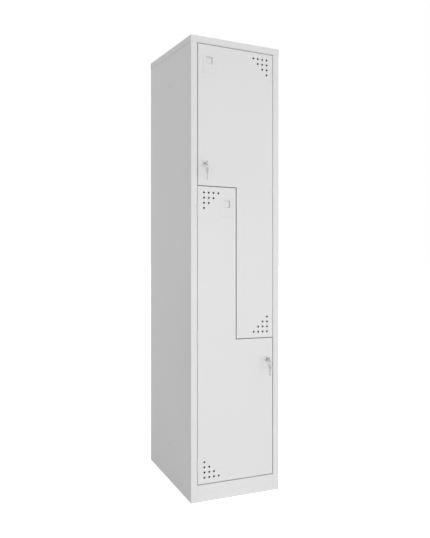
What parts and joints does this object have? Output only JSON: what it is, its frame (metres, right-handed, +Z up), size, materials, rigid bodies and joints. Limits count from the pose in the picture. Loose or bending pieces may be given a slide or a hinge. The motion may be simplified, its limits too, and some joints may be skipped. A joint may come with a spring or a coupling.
{
  "type": "z locker",
  "caption": "Tall narrow sheet-steel locker with interlocking L-shaped doors round a Z-shaped inner partition, with knuckle hinges, vents, card holders and keyed cam locks.",
  "frame": {"origin": "middle of the part's bounding box in plan, on the floor that the cabinet stands on", "axes": "+Z up along the locker's height; the doors face -Y; +X is the viewer's right when facing them"},
  "size_m": [0.385, 0.544, 1.8],
  "materials": {
    "paint": "light grey powder coat with a fine, even, satin surface",
    "zinc": "bright zinc plating on pressed and drawn steel",
    "chrome": "polished chrome plate on the lock housings",
    "nickel": "nickel-plated brass on the barrels and keys",
    "rubber": "dull black moulded rubber",
    "card": "plain matt white card, bare of any print"
  },
  "bodies": {
    "cabinet": {"left_side_panel": "paint", "right_side_panel": "paint", "left_door_stop": "paint", "right_door_stop": "paint", "back_panel": "paint", "top_cap": "paint", "top_rail": "paint", "plinth": "paint", "floor_panel": "paint", "upper_shelf": "paint", "centre_divider": "paint", "lower_shelf": "paint", "upper_coat_hook": "zinc", "lower_coat_hook": "zinc", "upper_door_hinge_leg_frame_leaf": "paint", "upper_door_hinge_middle_frame_leaf": "paint", "upper_door_hinge_wide_frame_leaf": "paint", "upper_door_hinge_leg_pin": "zinc", "upper_door_hinge_middle_pin": "zinc", "upper_door_hinge_wide_pin": "zinc", "upper_door_buffer_wide": "rubber", "upper_door_buffer_step": "rubber", "lower_door_hinge_leg_frame_leaf": "paint", "lower_door_hinge_middle_frame_leaf": "paint", "lower_door_hinge_wide_frame_leaf": "paint", "lower_door_hinge_leg_pin": "zinc", "lower_door_hinge_middle_pin": "zinc", "lower_door_hinge_wide_pin": "zinc", "lower_door_buffer_wide": "rubber", "lower_door_buffer_step": "rubber"},
    "upper_door": {"upper_door_panel": "paint", "upper_door_stiffener": "paint", "upper_door_card_pocket": "paint", "upper_door_card": "card", "upper_door_hinge_leg_door_leaf": "paint", "upper_door_hinge_middle_door_leaf": "paint", "upper_door_hinge_wide_door_leaf": "paint", "upper_door_lock_housing": "chrome", "upper_door_lock_nut": "zinc"},
    "upper_lock": {"upper_door_lock_barrel": "nickel", "upper_door_lock_cam": "zinc", "upper_door_cam_screw": "zinc"},
    "upper_key": {"upper_door_key": "nickel"},
    "upper_key_ring": {"upper_door_key_ring": "zinc"},
    "upper_spare_key": {"upper_door_spare_key": "nickel"},
    "lower_door": {"lower_door_panel": "paint", "lower_door_stiffener": "paint", "lower_door_card_pocket": "paint", "lower_door_card": "card", "lower_door_hinge_leg_door_leaf": "paint", "lower_door_hinge_middle_door_leaf": "paint", "lower_door_hinge_wide_door_leaf": "paint", "lower_door_lock_housing": "chrome", "lower_door_lock_nut": "zinc"},
    "lower_lock": {"lower_door_lock_barrel": "nickel", "lower_door_lock_cam": "zinc", "lower_door_cam_screw": "zinc"},
    "lower_key": {"lower_door_key": "nickel"},
    "lower_key_ring": {"lower_door_key_ring": "zinc"},
    "lower_spare_key": {"lower_door_spare_key": "nickel"}
  },
  "joints": [
    {"name": "upper_door_hinge", "type": "hinge", "parent": "cabinet", "child": "upper_door", "pos_m": [0.1647, -0.23423, 1.1], "axis": [0, 0, 1], "range_deg": [0, 110]},
    {"name": "lower_door_hinge", "type": "hinge", "parent": "cabinet", "child": "lower_door", "pos_m": [-0.1647, -0.23423, 0.7], "axis": [0, 0, -1], "range_deg": [0, 110]},
    {"name": "upper_lock_turn", "type": "hinge", "parent": "upper_door", "child": "upper_lock", "pos_m": [-0.136, -0.23178, 1.3079], "axis": [0, 1, 0], "range_deg": [0, 90]},
    {"name": "upper_key_withdraw", "type": "slide", "parent": "upper_lock", "child": "upper_key", "axis": [0, -1, 0], "range_m": [0, 0.03]},
    {"name": "upper_key_ring_swing", "type": "hinge", "parent": "upper_key", "child": "upper_key_ring", "pos_m": [-0.136, -0.26102, 1.3059], "axis": [1, 0, 0], "range_deg": [-70, 8]},
    {"name": "upper_spare_key_swing", "type": "hinge", "parent": "upper_key_ring", "child": "upper_spare_key", "pos_m": [-0.136, -0.26102, 1.2889], "axis": [1, 0, 0], "range_deg": [-60, 5]},
    {"name": "lower_lock_turn", "type": "hinge", "parent": "lower_door", "child": "lower_lock", "pos_m": [0.136, -0.23178, 0.5371], "axis": [0, -1, 0], "range_deg": [0, 90]},
    {"name": "lower_key_withdraw", "type": "slide", "parent": "lower_lock", "child": "lower_key", "axis": [0, -1, 0], "range_m": [0, 0.03]},
    {"name": "lower_key_ring_swing", "type": "hinge", "parent": "lower_key", "child": "lower_key_ring", "pos_m": [0.136, -0.26102, 0.5351], "axis": [1, 0, 0], "range_deg": [-70, 8]},
    {"name": "lower_spare_key_swing", "type": "hinge", "parent": "lower_key_ring", "child": "lower_spare_key", "pos_m": [0.136, -0.26102, 0.5181], "axis": [1, 0, 0], "range_deg": [-60, 5]}
  ]
}
